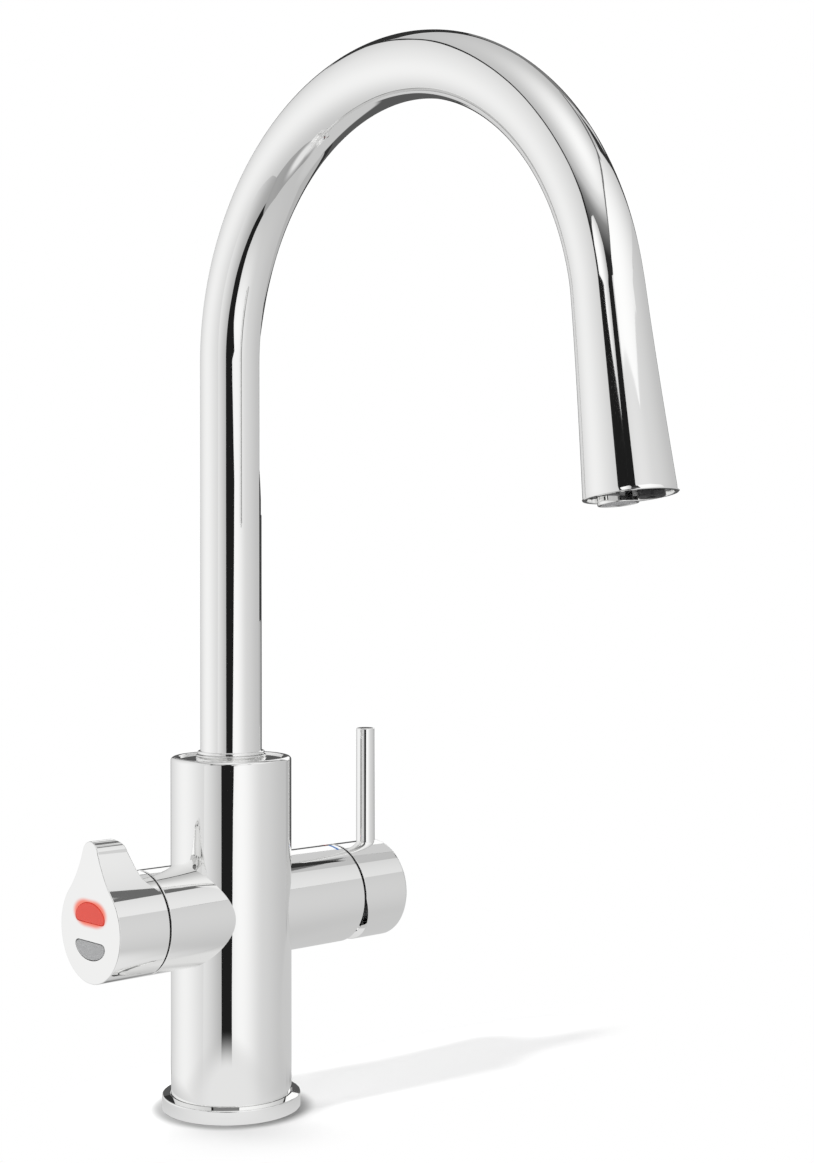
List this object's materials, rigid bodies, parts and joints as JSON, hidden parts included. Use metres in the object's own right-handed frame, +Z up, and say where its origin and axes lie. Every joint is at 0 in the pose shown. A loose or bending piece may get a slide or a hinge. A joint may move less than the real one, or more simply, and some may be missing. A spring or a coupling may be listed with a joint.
{
  "type": "boiling water tap",
  "caption": "Tall swan-neck kitchen tap with a swivel spout, a boiling-water lever with push buttons on one arm and a pin-lever mixer knob on the other.",
  "frame": {"origin": "centre of the foot, on the worktop", "axes": "+Z up, -Y along the spout towards the user, -X to the boil lever, +X to the mixer knob"},
  "size_m": [0.1496, 0.262, 0.423],
  "materials": {
    "chrome": "polished chrome plate",
    "brass": "machined brass",
    "copper": "drawn copper tube",
    "steel": "turned stainless steel",
    "dark_metal": "dark satin metal",
    "rubber": "black moulded rubber",
    "black_plastic": "black moulded plastic",
    "white_plastic": "natural moulded plastic",
    "ceramic": "lapped ceramic",
    "silicone": "grey silicone",
    "board": "green circuit board",
    "lamp_red": "red lamp",
    "button_red": "translucent red, lit from behind",
    "button_grey": "satin grey",
    "mark_blue": "blue inlay",
    "mark_red": "red inlay"
  },
  "bodies": {
    "housing": {"base_ring": "chrome", "base_seal": "rubber", "base_plate": "brass", "foot_o_ring": "rubber", "hot_inlet": "brass", "cold_inlet": "brass", "boiling_inlet": "brass", "cable_grommet": "rubber", "front_stud_socket": "steel", "rear_stud_socket": "steel", "hot_riser": "copper", "cold_riser": "copper", "boiling_riser": "copper", "body_shell": "chrome", "inner_manifold": "brass", "lower_spout_seal": "rubber", "upper_spout_seal": "rubber", "swivel_stop_screw": "steel", "swivel_bush": "white_plastic", "top_collar": "chrome", "boil_valve_body": "brass", "lever_return_spring": "steel", "lever_bearing": "white_plastic", "lever_gasket": "rubber", "cartridge_housing": "white_plastic", "fixed_disc": "ceramic", "cartridge_nut": "brass", "mixer_shroud": "black_plastic", "cold_mark": "mark_blue", "hot_mark": "mark_red"},
    "spout": {"spout_foot": "brass", "spout_clip": "steel", "spout_trim_ring": "chrome", "spout_tube": "chrome", "boiling_tube": "copper", "outlet_insert": "dark_metal", "boiling_nozzle": "black_plastic", "aerator_housing": "chrome", "aerator_mesh": "steel", "flow_restrictor": "white_plastic", "aerator_seal": "rubber"},
    "boil_lever": {"boil_lever": "chrome", "lever_hub": "brass", "lever_screw": "steel", "boil_valve_spindle": "steel", "button_board": "board", "button_lamp": "lamp_red", "select_dome": "silicone", "safety_dome": "silicone"},
    "select_button": {"select_button": "button_red"},
    "safety_button": {"safety_button": "button_grey"},
    "mixer_carrier": {"cartridge_turret": "white_plastic", "pivot_pin": "steel"},
    "mixer_handle": {"cartridge_stem": "steel", "mixer_knob": "chrome", "pin_lever": "chrome", "grub_screw": "steel"},
    "mixer_disc": {"moving_disc": "ceramic", "disc_carrier": "white_plastic"}
  },
  "joints": [
    {"name": "spout_swivel", "type": "hinge", "parent": "housing", "child": "spout", "pos_m": [0, 0, 0.118], "axis": [0, 0, 1], "range_deg": [-90, 90]},
    {"name": "boil_lever_turn", "type": "hinge", "parent": "housing", "child": "boil_lever", "pos_m": [-0.04, 0, 0.082], "axis": [1, 0, 0], "range_deg": [0, 45], "stiffness_Nm_per_rad": 0.15, "springref_deg": -20.05},
    {"name": "select_press", "type": "slide", "parent": "boil_lever", "child": "select_button", "axis": [1, 0, 0], "range_m": [0, 0.0006], "stiffness_N_per_m": 1500, "springref_m": -0.0004},
    {"name": "safety_press", "type": "slide", "parent": "boil_lever", "child": "safety_button", "axis": [1, 0, 0], "range_m": [0, 0.0006], "stiffness_N_per_m": 1500, "springref_m": -0.0004},
    {"name": "mixer_temperature", "type": "hinge", "parent": "housing", "child": "mixer_carrier", "pos_m": [0.046, 0, 0.082], "axis": [1, 0, 0], "range_deg": [-45, 45]},
    {"name": "mixer_flow", "type": "hinge", "parent": "mixer_carrier", "child": "mixer_handle", "pos_m": [0.046, 0, 0.082], "axis": [0, 1, 0], "range_deg": [0, 15]},
    {"name": "disc_slide", "type": "slide", "parent": "mixer_carrier", "child": "mixer_disc", "axis": [0, 0, 1], "range_m": [0, 0.003]}
  ],
  "couplings": [
    {"joint": "disc_slide", "follows": "mixer_flow", "m_per_rad": 0.0105}
  ]
}
